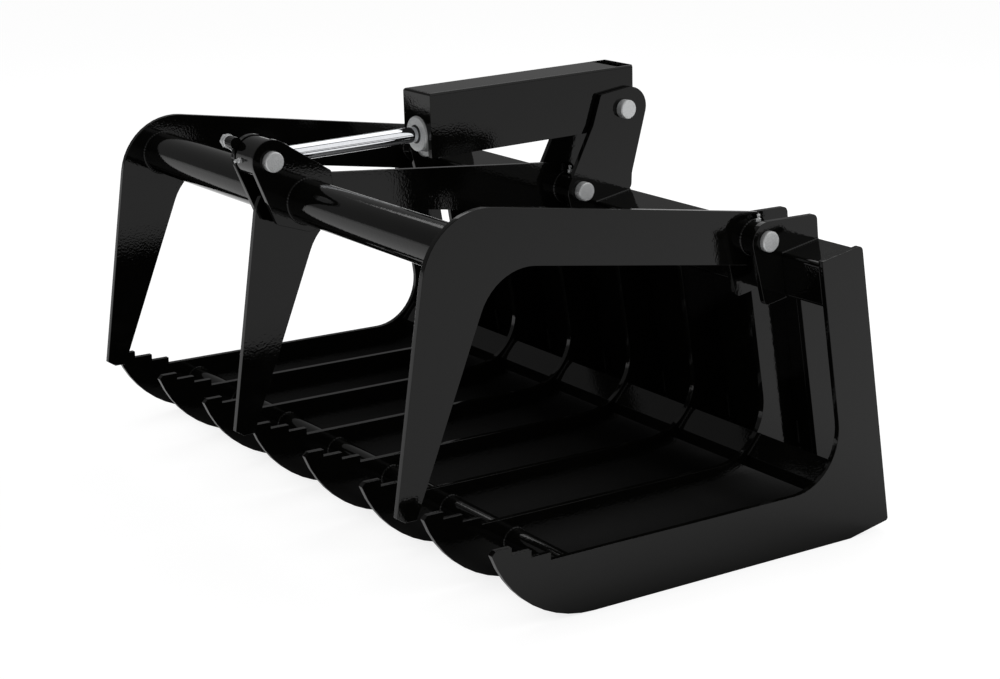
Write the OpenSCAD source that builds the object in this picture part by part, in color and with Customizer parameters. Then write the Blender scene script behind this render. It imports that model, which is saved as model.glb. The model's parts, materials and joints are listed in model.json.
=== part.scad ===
// Root grapple: a rake of eight plate tines under a hydraulic clamp with three plate arms.
// X runs across the width, Y from the tine noses back to the attachment plate, Z upwards.
// The origin is on the ground, in the middle of the outline seen from above.

/* [Overall] */
// Width over the two end tines
overall_w = 1524; // [1480:4:1900]
// Ground length from a tine's nose to the front edge of its post
floor_len = 852; // [760:1:1000]
// Forward lean of the posts from the vertical
post_lean = 10.5; // [7:0.5:13]

/* [Tines] */
// Plate thickness of a tine
tine_t = 12; // [8:1:20]
// Height of a tine's floor bar
bar_h = 118; // [100:1:140]
// Length of one tooth of the nose
tooth_len = 42; // [30:1:55]
// Step down from one tooth to the next
tooth_drop = 14; // [8:1:20]
// Chamfer at the tip of the nose
nose_chamfer = 8; // [2:1:12]
// Setback of the ground corner from the tip of the nose
nose_run = 60; // [40:1:90]
// Largest radius of the underside of the nose
nose_r = 238; // [120:1:260]
// Radius of the inner corner between bar and post
fillet_r = 110; // [60:1:140]
// Width of an end post, front edge to rear edge
post_w = 103; // [103:1:130]
// Width of an inner post
inner_post_w = 80; // [60:1:90]
// Length of an end post along its lean, from the ground
post_h = 581; // [520:1:680]

/* [Rake frame] */
// Height of the top rail's section along the lean
rail_h = 90; // [76:1:100]
// Depth of the top rail's section
rail_d = 102; // [92:1:103]
// Wall of the top rail
rail_wall = 6; // [4:1:10]
// Outer corner radius of the top rail
rail_r = 9; // [7:1:14]
// Drop of the rail's top below the top of the end posts
rail_drop = 6; // [0:1:20]
// Outer diameter of the front pipe
pipe_od = 48; // [38:1:60]
// Wall of the front pipe
pipe_wall = 5; // [3:1:8]
// Distance of the front pipe's axis behind the noses
pipe_back = 200; // [170:1:260]
// Height of the front pipe's axis
pipe_up = 71; // [55:1:80]
// Width of the flat heel bars
heel_w = 52; // [40:1:60]
// Thickness of the heel bars
heel_t = 12; // [6:1:16]
// Tilt of the heel bars from level
heel_tilt = 50; // [35:1:60]
// Distance of a heel bar's front edge ahead of the foot of the posts
heel_ahead = 82; // [60:1:100]
// Height of a heel bar's front edge
heel_up = 128; // [100:1:140]

/* [Attachment plate] */
// Width of the attachment plate
attach_w = 1192; // [1120:4:1240]
// Thickness of the attachment plate
attach_t = 10; // [6:1:12]
// Height of its lower edge along the posts
attach_low = 35; // [25:1:60]
// Reach of its side plates behind it
attach_reach = 70; // [65:1:90]
// Thickness of its side plates
attach_side_t = 12; // [8:1:16]
// Reach of the sloping top lip
lip_reach = 40; // [30:1:50]
// Thickness of the top lip
lip_t = 10; // [6:1:12]
// Height of the lip's foot, which closes the back above the plate
lip_foot = 24; // [22:1:34]
// Thickness of the bottom ledge
ledge_t = 12; // [8:1:16]
// Length of a lock slot across the ledge
slot_len = 76; // [50:1:90]
// Width of a lock slot
slot_w = 28; // [20:1:32]
// Distance of a slot's centre from the middle of the grapple
slot_x = 465; // [400:1:500]

/* [Clamp hinges] */
// Distance of the hinge axis ahead of the rail's front face
hinge_ahead = 29; // [27:1:34]
// Height of the hinge axis above the rail's top
hinge_up = 34.5; // [32:0.5:44]
// Distance of a side arm's middle plane from the middle of the grapple
arm_x = 600; // [570:1:615]
// Thickness of the hinge lugs
lug_t = 12; // [8:1:16]
// Clear gap between the two lugs of a side hinge
lug_gap = 72; // [60:1:90]
// Outer radius of a lug about the hinge axis
lug_r = 38; // [34:1:42]
// Reach of a lug's foot ahead of the rail
lug_foot = 54; // [46:1:60]
// Length of a lug's top edge behind the hinge axis
lug_len = 123; // [112:1:130]
// Diameter of all pins
pin_d = 40; // [30:1:42]
// Length of a side hinge pin that shows beyond its lug
pin_out = 10; // [6:1:16]
// Chamfer at a pin's plain end
pin_chamfer = 2; // [1:0.5:3]
// Radial clearance of a pin in a welded plate
seat_fit = 0.1; // [0.05:0.01:0.25]
// Radial running clearance of a pin in a hub or an eye
run_fit = 0.08; // [0.02:0.01:0.1]
// Side gap between a hub or an eye and the plates beside it
side_gap = 1; // [0.5:0.5:3]

/* [Cylinder bracket] */
// Clear gap between the two bracket plates
bracket_gap = 104; // [102:1:130]
// Thickness of the bracket plates
bracket_t = 12; // [8:1:16]
// Distance of the base pin behind the hinge axis
base_back = 108; // [96:1:120]
// Height of the base pin above the hinge axis
base_up = 165; // [150:1:190]
// Radius of a bracket plate's top corner
bracket_r = 44; // [30:1:50]
// Length of a centre pin that shows beyond its bracket plate
centre_pin_out = 16; // [8:1:24]

/* [Clamp arms] */
// Plate thickness of an arm
arm_t = 12; // [8:1:20]
// Depth of an arm's upper part
arm_depth = 102; // [94:1:110]
// Fall of a side arm's top edge towards the hinge, and of all the arms' lower edges
arm_fall = 7.6; // [5:0.1:9]
// Height of a side arm's top edge above the hinge axis
arm_over = 48; // [46:1:56]
// Height of the centre arm's top edge above the hinge axis
centre_over = 52; // [50:1:56]
// Wall of the centre arm above the cross tube, which sets the fall of its top edge
tube_cover = 3; // [2:0.5:8]
// Reach of an arm's tip ahead of the hinge axis
tip_reach = 806; // [780:1:860]
// Depth of an arm's tip below the hinge axis
tip_below = 412; // [380:1:425]
// Width of an arm's tip
tip_w = 41; // [30:1:60]
// Slope of the leg's front edge from the vertical
leg_front_lean = 7.8; // [5:0.1:10]
// Slope of the leg's rear edge from the vertical
leg_back_lean = 21.2; // [18:0.1:24]
// Radius of a side arm's outer bend
arm_outer_r = 130; // [90:1:150]
// Radius of the centre arm's outer bend
centre_outer_r = 80; // [50:1:90]
// Radius of an arm's inner bend
arm_inner_r = 110; // [70:1:125]
// Radius of an arm's rear end about the hinge axis
arm_end_r = 40; // [37:1:42]
// Outer radius of the hubs
hub_r = 33; // [27:1:36]
// Outer diameter of the cross tube
tube_od = 89; // [70:1:96]
// Wall of the cross tube
tube_wall = 6; // [4:1:10]
// Distance of the cross tube's axis ahead of the hinge axis
tube_ahead = 652; // [630:1:665]
// Height of the cross tube's axis above the hinge axis
tube_up = 51; // [40:1:56]
// Gap left for the weld round the attachment plate and round tubes that pass through a plate
weld_gap = 0.2; // [0.05:0.05:0.3]

/* [Clevis] */
// Distance of the rod pin ahead of the hinge axis
rod_pin_ahead = 728; // [715:1:740]
// Height of the rod pin above the hinge axis
rod_pin_up = 137; // [128:1:150]
// Clear gap between the clevis ears
ear_gap = 62; // [50:1:80]
// Thickness of the clevis ears
ear_t = 12; // [8:1:16]
// Outer radius of an ear about the rod pin
ear_r = 42; // [38:1:48]
// Length of the rod pin that shows beyond its ear
rod_pin_out = 13; // [8:1:20]

/* [Hydraulic cylinder] */
// Outer diameter of the barrel
barrel_od = 76; // [70:1:82]
// Bore of the barrel
barrel_bore = 63; // [54:1:64]
// Diameter of the piston rod
rod_d = 32; // [25:1:40]
// Outer diameter of the gland ring
gland_od = 73; // [66:1:76]
// Length of the gland ring
gland_len = 20; // [12:1:28]
// Rod that shows between the rod pin and the gland when the clamp is shut
rod_show = 352; // [330:1:370]
// Length of the piston
piston_len = 35; // [25:1:50]
// Outer radius of the rod eye
rod_eye_r = 40; // [39:1:41]
// Radial play of the rod pin in the rod eye
open_play = 11.3; // [11.1:0.1:12]
// Outer radius of the base eye
base_eye_r = 38; // [32:1:42]

/* [Cylinder cover] */
// Outer width of the cover
cover_w = 100; // [96:1:101]
// Sheet thickness of the cover
cover_t = 4; // [2:0.5:6]
// Height of the cover's top above the cylinder's axis
cover_up = 88; // [70:1:100]
// Depth of the cover's sides below the cylinder's axis
cover_down = 43; // [30:1:50]
// Length of the cover's sides behind the base pin
cover_back = 34; // [28:1:40]
// Gap between the cover and what it rests on
cover_gap = 0.3; // [0.1:0.1:0.4]

/* [Keepers and nipples] */
// Distance of a keeper bolt from its pin's axis
keeper_r = 46; // [42:1:52]
// Length of a keeper boss
boss_len = 14; // [8:1:20]
// Diameter of a keeper boss
boss_d = 24; // [22:1:30]
// Thickness of the flag on a pin
flag_t = 8; // [5:1:12]
// Thread diameter of a keeper bolt
bolt_d = 16; // [10:1:16]
// Width across the flats of a keeper bolt's head
bolt_af = 24; // [17:1:26]
// Height of a keeper bolt's head
bolt_head_h = 10; // [6:1:12]
// Length of a grease nipple
nipple_len = 15; // [8:1:18]

/* [Hidden] */
tine_count = 8;
tooth_count = 3;
arc_step = 7.5;
$fn = 96;
pitch = (overall_w - tine_t) / (tine_count - 1);
nose_h = bar_h + tooth_count * tooth_drop;
rail_top = post_h - rail_drop;
rail_low = rail_top - rail_h;
inner_w = overall_w - 2 * tine_t;
attach_back = inner_post_w + attach_t;
attach_high = rail_low;
attach_in = attach_w / 2 - attach_side_t;
reach_back = attach_back + attach_reach;

// A point given across and along a post, turned into ground coordinates [y, z]
function leaned_point(across, along) = [
    floor_len + across * cos(post_lean) - along * sin(post_lean),
    across * sin(post_lean) + along * cos(post_lean)
];

hinge = leaned_point(-hinge_ahead, rail_top + hinge_up);
base_pin_at = hinge + [base_back, base_up];
rod_pin_at = hinge + [-rod_pin_ahead, rod_pin_up];
tube_at = hinge + [-tube_ahead, tube_up];
tip_at = hinge + [-tip_reach, -tip_below];
tip_chamfer = [17, 11];
cyl_line = base_pin_at - rod_pin_at;
cyl_len = norm(cyl_line);
cyl_tilt = atan2(cyl_line[1], cyl_line[0]);
front_y = tip_at[0];
back_y = leaned_point(reach_back, attach_low)[0];
origin_y = (front_y + back_y) / 2;

lug_out = lug_gap / 2 + lug_t;
bracket_out = bracket_gap / 2 + bracket_t;
ear_out = ear_gap / 2 + ear_t;
lug_keeper_turn = 12;
base_keeper_turn = -100;
rod_keeper_turn = 143;

// Corners of a bracket plate, [back, up] from the base pin and its heel from the hinge axis
bracket_front = [-63, 34];
bracket_top = [74, 54];
bracket_waist = [-82, -28];
bracket_heel = [132, 25];
// Corners of a clevis ear, [back, up] from the cross tube's axis
ear_front = [-68, -39];
ear_back = [54, 55];
ear_heel = [62, -24];
ear_low = [10, -64];
// Distance of an arm's shoulders ahead of and behind the hinge axis
arm_shoulder = 12;

shank_d = 44;
shank_end = rod_eye_r + 14;
gland_end = rod_show + gland_len;
spigot_len = 40;
barrel_end = cyl_len - base_eye_r - 20;
barrel_cap = 12;
piston_at = gland_end + spigot_len + 40;
piston_pin_d = 22;
piston_nut_len = 18;
cover_front = rod_show + 6;

paint = [0.09, 0.092, 0.095];
zinc = [0.72, 0.73, 0.74];
chrome = [0.82, 0.83, 0.85];

// Unit vector at an angle in the Y-Z plane
function heading(angle) = [cos(angle), sin(angle)];

// Direction from one point to another
function bearing(from, to) = atan2(to[1] - from[1], to[0] - from[0]);

// Meeting point of a line through p heading a and a line through q heading b
function meet(p, a, q, b) =
    let (u = heading(a), v = heading(b), w = q - p)
    p + u * ((w[0] * v[1] - w[1] * v[0]) / (u[0] * v[1] - u[1] * v[0]));

// Heading of the tangent from p to a circle, on its left (side 1) or right (side -1)
function tangent(p, centre, r, side) = bearing(p, centre) + side * asin(r / norm(centre - p));

// Corner whose rounding by r lies on the circle, between tangents from p and q
function corner_round(p, centre, r, q, side) =
    let (at = meet(p, tangent(p, centre, r, side), q, tangent(q, centre, r, -side)))
    [at[0], at[1], r];

// One corner [y, z, radius] turned into its arc, between its neighbours
function corner_arc(before, corner, after) =
    let (
        at = [corner[0], corner[1]],
        back = [before[0], before[1]] - at,
        ahead = [after[0], after[1]] - at,
        u = back / norm(back),
        v = ahead / norm(ahead),
        half = acos(u * v) / 2,
        reach = min(corner[2] / tan(half), norm(back), norm(ahead)),
        r = reach * tan(half),
        centre = at + (u + v) / norm(u + v) * (r / sin(half)),
        first = bearing(centre, at + u * reach),
        turn_raw = bearing(centre, at + v * reach) - first,
        turn = turn_raw > 180 ? turn_raw - 360 : (turn_raw < -180 ? turn_raw + 360 : turn_raw),
        steps = max(2, ceil(abs(turn) / arc_step))
    )
    corner[2] == 0 ? [at] : [for (k = [0:steps]) centre + r * heading(first + turn * k / steps)];

// Outline whose corners [y, z, radius] are rounded
function rounded(corners) =
    let (n = len(corners))
    [for (i = [0:n - 1]) each corner_arc(corners[(i + n - 1) % n], corners[i], corners[(i + 1) % n])];

// Corner from a point and a radius
function corner(point, r) = [point[0], point[1], r];

// X of a tine's middle plane, counted from the right
function tine_x(i) = (tine_count + 1 - 2 * i) / 2 * pitch;

// Moves the working frame, with Y from the noses, to the part's origin
module place() {
    translate([0, -origin_y, 0]) children();
}

// Frame of the posts: Y behind their front edges, Z along their lean
module leaned() {
    place() translate([0, floor_len, 0]) rotate([post_lean, 0, 0]) children();
}

// Frame of the cylinder: Y from the rod pin to the base pin
module on_cylinder() {
    place() translate([0, rod_pin_at[0], rod_pin_at[1]]) rotate([cyl_tilt, 0, 0]) children();
}

// Frame at a point of the Y-Z plane
module at_point(point) {
    place() translate([0, point[0], point[1]]) children();
}

// A shape of the Y-Z plane, made solid from one X to another
module across(from_x, to_x) {
    translate([from_x, 0, 0]) rotate([90, 0, 90]) linear_extrude(to_x - from_x) children();
}

// Round bar along X
module bar_x(from_x, to_x, r) {
    translate([from_x, 0, 0]) rotate([0, 90, 0]) cylinder(h = to_x - from_x, r = r);
}

// Round bar along Y
module bar_y(from_y, to_y, r) {
    translate([0, from_y, 0]) rotate([-90, 0, 0]) cylinder(h = to_y - from_y, r = r);
}

// Plate between two X planes with a rounded outline
module plate(from_x, to_x, corners) {
    across(from_x, to_x) polygon(rounded(corners));
}

// Outline of a tine whose post has a given width and length
function tine_outline(width, along) = concat(
    [[0, nose_h - nose_chamfer, 0], [nose_chamfer, nose_h, 0]],
    [for (i = [1:tooth_count]) each [
        [i * tooth_len, nose_h - (i - 1) * tooth_drop, 0],
        [i * tooth_len, nose_h - i * tooth_drop, 0]
    ]],
    [
        [floor_len - bar_h * tan(post_lean), bar_h, fillet_r],
        corner(leaned_point(0, along), 2),
        corner(leaned_point(width, along), 10),
        corner(leaned_point(width, 0), 6),
        [floor_len, 0, 0],
        [nose_run, 0, nose_r]
    ]
);

// Tine: an L-shaped plate with a stepped nose
module tine(i) {
    is_end = i == 1 || i == tine_count;
    width = is_end ? post_w : inner_post_w;
    along = is_end ? post_h : rail_low;
    x = tine_x(i);
    color(paint) place() difference() {
        plate(x - tine_t / 2, x + tine_t / 2, tine_outline(width, along));
        if (!is_end)
            translate([0, pipe_back, pipe_up]) bar_x(x - tine_t, x + tine_t, pipe_od / 2 + weld_gap);
    }
}

// Square-cornered ring section of the rail, inset from its outside
function rail_section(inset) = [
    [inset, rail_low + inset, rail_r - inset],
    [rail_d - inset, rail_low + inset, rail_r - inset],
    [rail_d - inset, rail_top - inset, rail_r - inset],
    [inset, rail_top - inset, rail_r - inset]
];

// Top rail: a tube of rectangular section between the end tines
module top_rail() {
    color(paint) leaned() across(-inner_w / 2, inner_w / 2) difference() {
        polygon(rounded(rail_section(0)));
        polygon(rounded(rail_section(rail_wall)));
    }
}

// Front pipe: threads the inner tines and butts against the end tines
module front_pipe() {
    color(paint) at_point([pipe_back, pipe_up]) difference() {
        bar_x(-inner_w / 2, inner_w / 2, pipe_od / 2);
        bar_x(-inner_w / 2 - 1, inner_w / 2 + 1, pipe_od / 2 - pipe_wall);
    }
}

// Heel bar: a tilted flat that ties two neighbouring tines at the heel
module heel_bar(i) {
    clear = pitch - tine_t;
    color(paint) place() translate([tine_x(i) - tine_t / 2 - clear, floor_len - heel_ahead, heel_up])
        rotate([heel_tilt, 0, 0]) translate([0, 0, -heel_t]) cube([clear, heel_w, heel_t]);
}

// Attachment plate: closes the back inside the ledge, lip and side plates that frame it,
// so that a flat coupler lies on the whole of its rear face
module attach_plate() {
    half = attach_in - weld_gap;
    low = attach_low + ledge_t + weld_gap;
    high = attach_high - lip_foot - weld_gap;
    color(paint) leaned() translate([-half, inner_post_w, low]) cube([2 * half, attach_t, high - low]);
}

// Top lip: a foot above the plate and a slope behind it, under which the coupler hooks
module attach_lip() {
    thick = lip_t * sqrt(2);
    color(paint) leaned() across(-attach_in, attach_in) polygon([
        [inner_post_w, attach_high],
        [attach_back, attach_high],
        [attach_back + lip_reach, attach_high - lip_reach],
        [attach_back + lip_reach - thick / 2, attach_high - lip_reach - thick / 2],
        [attach_back, attach_high - thick],
        [attach_back, attach_high - lip_foot],
        [inner_post_w, attach_high - lip_foot]
    ]);
}

// Bottom ledge with the two slots that the coupler's locking wedges enter
module attach_ledge() {
    color(paint) leaned() difference() {
        translate([-attach_in, inner_post_w, attach_low])
            cube([2 * attach_in, reach_back - inner_post_w, ledge_t]);
        for (side = [-1, 1])
            translate([side * slot_x - slot_len / 2, attach_back + attach_reach / 2 - slot_w / 2, attach_low - 1])
                cube([slot_len, slot_w, ledge_t + 2]);
    }
}

// Side plate of the attachment plate
module attach_side(side) {
    x = side * (attach_in + attach_side_t / 2);
    shoulder = attach_high - lip_reach;
    color(paint) leaned() plate(x - attach_side_t / 2, x + attach_side_t / 2, [
        [inner_post_w, attach_low, 0],
        [reach_back, attach_low, 0],
        [reach_back, shoulder, 24],
        [attach_back + attach_reach / 2, attach_high, 12],
        [inner_post_w, attach_high, 0]
    ]);
}

// Where a plate's foot wraps the front and top of the rail
function rail_wrap() = [
    corner(leaned_point(0, rail_top), 0),
    corner(leaned_point(0, rail_low), 0),
    corner(leaned_point(-lug_foot, rail_low), 12)
];

// Tapped boss on a plate for a keeper bolt, standing out towards -X
module keeper_boss(face_x, turn) {
    rotate([turn, 0, 0]) translate([0, keeper_r, 0]) bar_x(face_x - boss_len, face_x + 1, boss_d / 2);
}

// Tapped hole of a keeper boss
module keeper_hole(face_x, turn) {
    rotate([turn, 0, 0]) translate([0, keeper_r, 0])
        bar_x(face_x - boss_len - 1, face_x + 1.5, bolt_d / 2);
}

// Outline of a side hinge lug
function lug_outline() =
    let (
        foot = leaned_point(-lug_foot, rail_low),
        top_back = hinge + [lug_len, lug_r]
    )
    concat(
        [corner(top_back, 12), corner(leaned_point(rail_d - 6, rail_top), 0)],
        rail_wrap(),
        [corner_round(foot, hinge, lug_r, top_back, 1)]
    );

// Hinge lug: the inner or outer plate of a side hinge, with its keeper boss on the -X plate
module lug(side, face) {
    x = side * arm_x + face * (lug_gap + lug_t) / 2;
    color(paint) difference() {
        union() {
            place() plate(x - lug_t / 2, x + lug_t / 2, lug_outline());
            if (face < 0) at_point(hinge) keeper_boss(x - lug_t / 2, lug_keeper_turn);
        }
        at_point(hinge) bar_x(x - lug_t, x + lug_t, pin_d / 2 + seat_fit);
        if (face < 0) at_point(hinge) keeper_hole(x - lug_t / 2, lug_keeper_turn);
    }
}

// Outline of a cylinder bracket plate, which carries the base pin and the centre hinge pin
function bracket_outline() =
    let (
        foot = leaned_point(-lug_foot, rail_low),
        waist = base_pin_at + bracket_waist
    )
    concat(
        [
            corner(base_pin_at + bracket_front, 6),
            corner(base_pin_at + bracket_top, bracket_r),
            corner(hinge + bracket_heel, 25),
            corner(leaned_point(rail_d - 4, rail_top), 16)
        ],
        rail_wrap(),
        [corner_round(foot, hinge, lug_r, waist, 1), corner(waist, 20)]
    );

// Cylinder bracket: one of the two tall plates behind the centre arm
module bracket(side) {
    x = side * (bracket_gap + bracket_t) / 2;
    color(paint) difference() {
        union() {
            place() plate(x - bracket_t / 2, x + bracket_t / 2, bracket_outline());
            if (side < 0) {
                at_point(hinge) keeper_boss(x - bracket_t / 2, lug_keeper_turn);
                at_point(base_pin_at) keeper_boss(x - bracket_t / 2, base_keeper_turn);
            }
        }
        at_point(hinge) bar_x(x - bracket_t, x + bracket_t, pin_d / 2 + seat_fit);
        at_point(base_pin_at) bar_x(x - bracket_t, x + bracket_t, pin_d / 2 + seat_fit);
        if (side < 0) {
            at_point(hinge) keeper_hole(x - bracket_t / 2, lug_keeper_turn);
            at_point(base_pin_at) keeper_hole(x - bracket_t / 2, base_keeper_turn);
        }
    }
}

// Pin with a chamfered plain end and a flag that a keeper bolt holds, about its own axis
module flag_pin(face_x, end_x, turn) {
    flag_x = face_x - boss_len - flag_t;
    color(zinc) {
        difference() {
            union() {
                bar_x(flag_x, end_x - pin_chamfer, pin_d / 2);
                rotate([turn, 0, 0]) across(flag_x, flag_x + flag_t) {
                    circle(d = pin_d + 6);
                    translate([0, -boss_d / 2]) square([keeper_r, boss_d]);
                    translate([keeper_r, 0]) circle(d = boss_d);
                }
            }
            rotate([turn, 0, 0]) translate([0, keeper_r, 0])
                bar_x(flag_x - 1, flag_x + flag_t + 1, bolt_d / 2 + weld_gap);
        }
        translate([end_x - pin_chamfer, 0, 0]) rotate([0, 90, 0])
            cylinder(h = pin_chamfer, r1 = pin_d / 2, r2 = pin_d / 2 - pin_chamfer);
    }
}

// Hexagon bolt of a keeper, about its pin's axis
module keeper_bolt(face_x, turn) {
    flag_x = face_x - boss_len - flag_t;
    color(zinc) rotate([turn, 0, 0]) translate([0, keeper_r, 0]) {
        bar_x(flag_x, face_x, bolt_d / 2 - seat_fit);
        translate([flag_x - bolt_head_h, 0, 0]) rotate([0, 90, 0])
            cylinder(h = bolt_head_h, d = bolt_af / cos(30), $fn = 6);
    }
}

// Hinge pin of a side arm
module hinge_pin_side(side) {
    at_point(hinge) flag_pin(side * arm_x - lug_out, side * arm_x + lug_out + pin_out, lug_keeper_turn);
}

// Hinge pin of the centre arm
module hinge_pin_centre() {
    at_point(hinge) flag_pin(-bracket_out, bracket_out + centre_pin_out, lug_keeper_turn);
}

// Base pin of the cylinder
module base_pin() {
    at_point(base_pin_at) flag_pin(-bracket_out, bracket_out + centre_pin_out, base_keeper_turn);
}

// Keeper bolts of the four pins that the rake carries
module keeper_bolts() {
    at_point(hinge) {
        keeper_bolt(arm_x - lug_out, lug_keeper_turn);
        keeper_bolt(-bracket_out, lug_keeper_turn);
        keeper_bolt(-arm_x - lug_out, lug_keeper_turn);
    }
    at_point(base_pin_at) keeper_bolt(-bracket_out, base_keeper_turn);
}

// Fall of the centre arm's top edge, which passes a wall above the hole for the cross tube
function centre_fall() =
    180 - tangent(hinge + [arm_shoulder, centre_over], tube_at, tube_od / 2 + weld_gap + tube_cover, -1);

// Outline of a clamp arm: upper part, bent leg and blunt tip
function arm_outline(over, top_fall, outer_r) =
    let (
        top_in = hinge + [arm_shoulder, over],
        low_in = hinge + [
            -arm_shoulder,
            arm_over + arm_shoulder * tan(arm_fall) - arm_depth / cos(arm_fall)
        ],
        tip_front = tip_at + [0, tip_chamfer[1]],
        tip_back = tip_at + [tip_w, 0],
        out_bend = meet(tip_front, 90 - leg_front_lean, top_in, 180 - top_fall),
        in_bend = meet(tip_back, 90 - leg_back_lean, low_in, 180 - arm_fall)
    )
    [
        corner(tip_front, 0),
        corner(out_bend, outer_r),
        corner(top_in, 12),
        corner_round(top_in, hinge, arm_end_r, low_in, 1),
        corner(low_in, 20),
        corner(in_bend, arm_inner_r),
        corner(tip_back, 3),
        corner(tip_at + [tip_chamfer[0], 0], 3)
    ];

// Clamp arm about a middle plane; the centre one is lower and lets the cross tube through
module arm(x) {
    outline = x == 0
        ? arm_outline(centre_over, centre_fall(), centre_outer_r)
        : arm_outline(arm_over, arm_fall, arm_outer_r);
    color(paint) difference() {
        place() plate(x - arm_t / 2, x + arm_t / 2, outline);
        at_point(hinge) bar_x(x - arm_t, x + arm_t, hub_r + weld_gap);
        if (x == 0) at_point(tube_at) bar_x(-arm_t, arm_t, tube_od / 2 + weld_gap);
    }
}

// Hub: the bushed tube in an arm's rear end that turns on the hinge pin
module hub(x, gap) {
    half = gap / 2 - side_gap;
    color(paint) at_point(hinge) difference() {
        bar_x(x - half, x + half, hub_r);
        bar_x(x - half - 1, x + half + 1, pin_d / 2 + run_fit);
    }
}

// Grease nipple standing up from a seat at the origin
module nipple() {
    base_h = nipple_len * 0.4;
    color(zinc) {
        cylinder(h = base_h, d = 11, $fn = 6);
        translate([0, 0, base_h]) cylinder(h = nipple_len * 0.3, d = 6);
        translate([0, 0, nipple_len - 4]) sphere(d = 8);
    }
}

// Grease nipples on the three hubs
module hub_nipples() {
    for (x = [arm_x, 0, -arm_x])
        at_point(hinge) translate([x + lug_gap / 4, 0, hub_r]) nipple();
}

// Cross tube: ties the three arms ahead of the hinge
module cross_tube() {
    half = arm_x - arm_t / 2;
    color(paint) at_point(tube_at) difference() {
        bar_x(-half, half, tube_od / 2);
        bar_x(-half - 1, half + 1, tube_od / 2 - tube_wall);
    }
}

// Outline of a clevis ear, which wraps the cross tube and rises to the rod pin
function ear_outline() =
    let (
        low_front = tube_at + ear_front,
        back = tube_at + ear_back
    )
    [
        corner(low_front, 8),
        corner_round(low_front, rod_pin_at, ear_r, back, 1),
        corner(back, 6),
        corner(tube_at + ear_heel, 28),
        corner(tube_at + ear_low, 28)
    ];

// Clevis ear, with a keeper boss on the left one
module ear(side) {
    x = side * (ear_gap + ear_t) / 2;
    color(paint) difference() {
        union() {
            place() plate(x - ear_t / 2, x + ear_t / 2, ear_outline());
            if (side < 0)
                at_point(rod_pin_at) rotate([rod_keeper_turn, 0, 0]) translate([0, keeper_r, 0])
                    bar_x(-ear_out - boss_len, -ear_gap / 2, boss_d / 2);
        }
        at_point(tube_at) bar_x(x - ear_t, x + ear_t, tube_od / 2 + weld_gap);
        at_point(rod_pin_at) bar_x(x - ear_t, x + ear_t, pin_d / 2 + seat_fit);
        if (side < 0) at_point(rod_pin_at) keeper_hole(-ear_out, rod_keeper_turn);
    }
}

// Rod pin: held in the clevis ears
module rod_pin() {
    at_point(rod_pin_at) flag_pin(-ear_out, ear_out + rod_pin_out, rod_keeper_turn);
}

// Keeper bolt of the rod pin
module rod_pin_bolt() {
    at_point(rod_pin_at) keeper_bolt(-ear_out, rod_keeper_turn);
}

// Barrel: a capped tube with two port bosses on top
module barrel() {
    port_r = 15;
    port_up = barrel_od / 2 + 14;
    port_at = [gland_end + spigot_len + 22, barrel_end - barrel_cap - 26];
    color(paint) on_cylinder() difference() {
        union() {
            bar_y(gland_end, barrel_end, barrel_od / 2);
            for (s = port_at) translate([0, s, 0]) cylinder(h = port_up, r = port_r);
        }
        bar_y(gland_end - 1, barrel_end - barrel_cap, barrel_bore / 2);
        for (s = port_at) translate([0, s, 0]) cylinder(h = port_up + 1, d = 18);
    }
}

// Gland: the bright ring at the barrel's mouth, with a spigot in the bore
module gland() {
    color(zinc) on_cylinder() difference() {
        union() {
            bar_y(rod_show, gland_end, gland_od / 2);
            bar_y(gland_end, gland_end + spigot_len, barrel_bore / 2 - seat_fit);
        }
        bar_y(rod_show - 1, gland_end + spigot_len + 1, rod_d / 2 + run_fit);
    }
}

// Base eye: welded to the barrel's cap and turning on the base pin
module base_eye() {
    half = cover_w / 2 - cover_t - cover_gap;
    color(paint) on_cylinder() difference() {
        union() {
            translate([0, cyl_len, 0]) bar_x(-half, half, base_eye_r);
            bar_y(barrel_end, cyl_len, barrel_od / 2 - 4);
        }
        translate([0, cyl_len, 0]) bar_x(-half - 1, half + 1, pin_d / 2 + run_fit);
    }
}

// Grease nipple of the base eye
module base_nipple() {
    on_cylinder() translate([0, cyl_len, base_eye_r]) nipple();
}

// Cover: a bent sheet guard over the barrel, open below, whose front is cut round the gland
module cover() {
    half = cover_w / 2;
    inside = half - cover_t;
    side_end = cyl_len + cover_back;
    top_end = cyl_len - 5;
    neck = gland_od / 2 + cover_gap;
    color(paint) on_cylinder() difference() {
        translate([-half, cover_front, -cover_down])
            cube([cover_w, side_end - cover_front, cover_up + cover_down]);
        translate([-inside, cover_front + cover_t, -cover_down - 1])
            cube([2 * inside, side_end, cover_up + cover_down - cover_t + 1]);
        translate([-inside, top_end, 0]) cube([2 * inside, side_end, cover_up + 1]);
        bar_y(cover_front - 1, cover_front + cover_t + 1, neck);
        translate([-neck, cover_front - 1, -cover_down - 1]) cube([2 * neck, cover_t + 2, cover_down + 1]);
        translate([0, cyl_len, 0]) bar_x(-half - 1, half + 1, pin_d / 2 + 0.5);
    }
}

// Piston rod, with a turned end for the piston
module rod() {
    color(chrome) on_cylinder() {
        bar_y(shank_end, piston_at, rod_d / 2);
        bar_y(piston_at, piston_at + piston_len + piston_nut_len + 4, piston_pin_d / 2);
    }
}

// Piston
module piston() {
    color(zinc) on_cylinder() difference() {
        bar_y(piston_at, piston_at + piston_len, barrel_bore / 2 - run_fit);
        bar_y(piston_at - 1, piston_at + piston_len + 1, piston_pin_d / 2 + seat_fit);
    }
}

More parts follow.
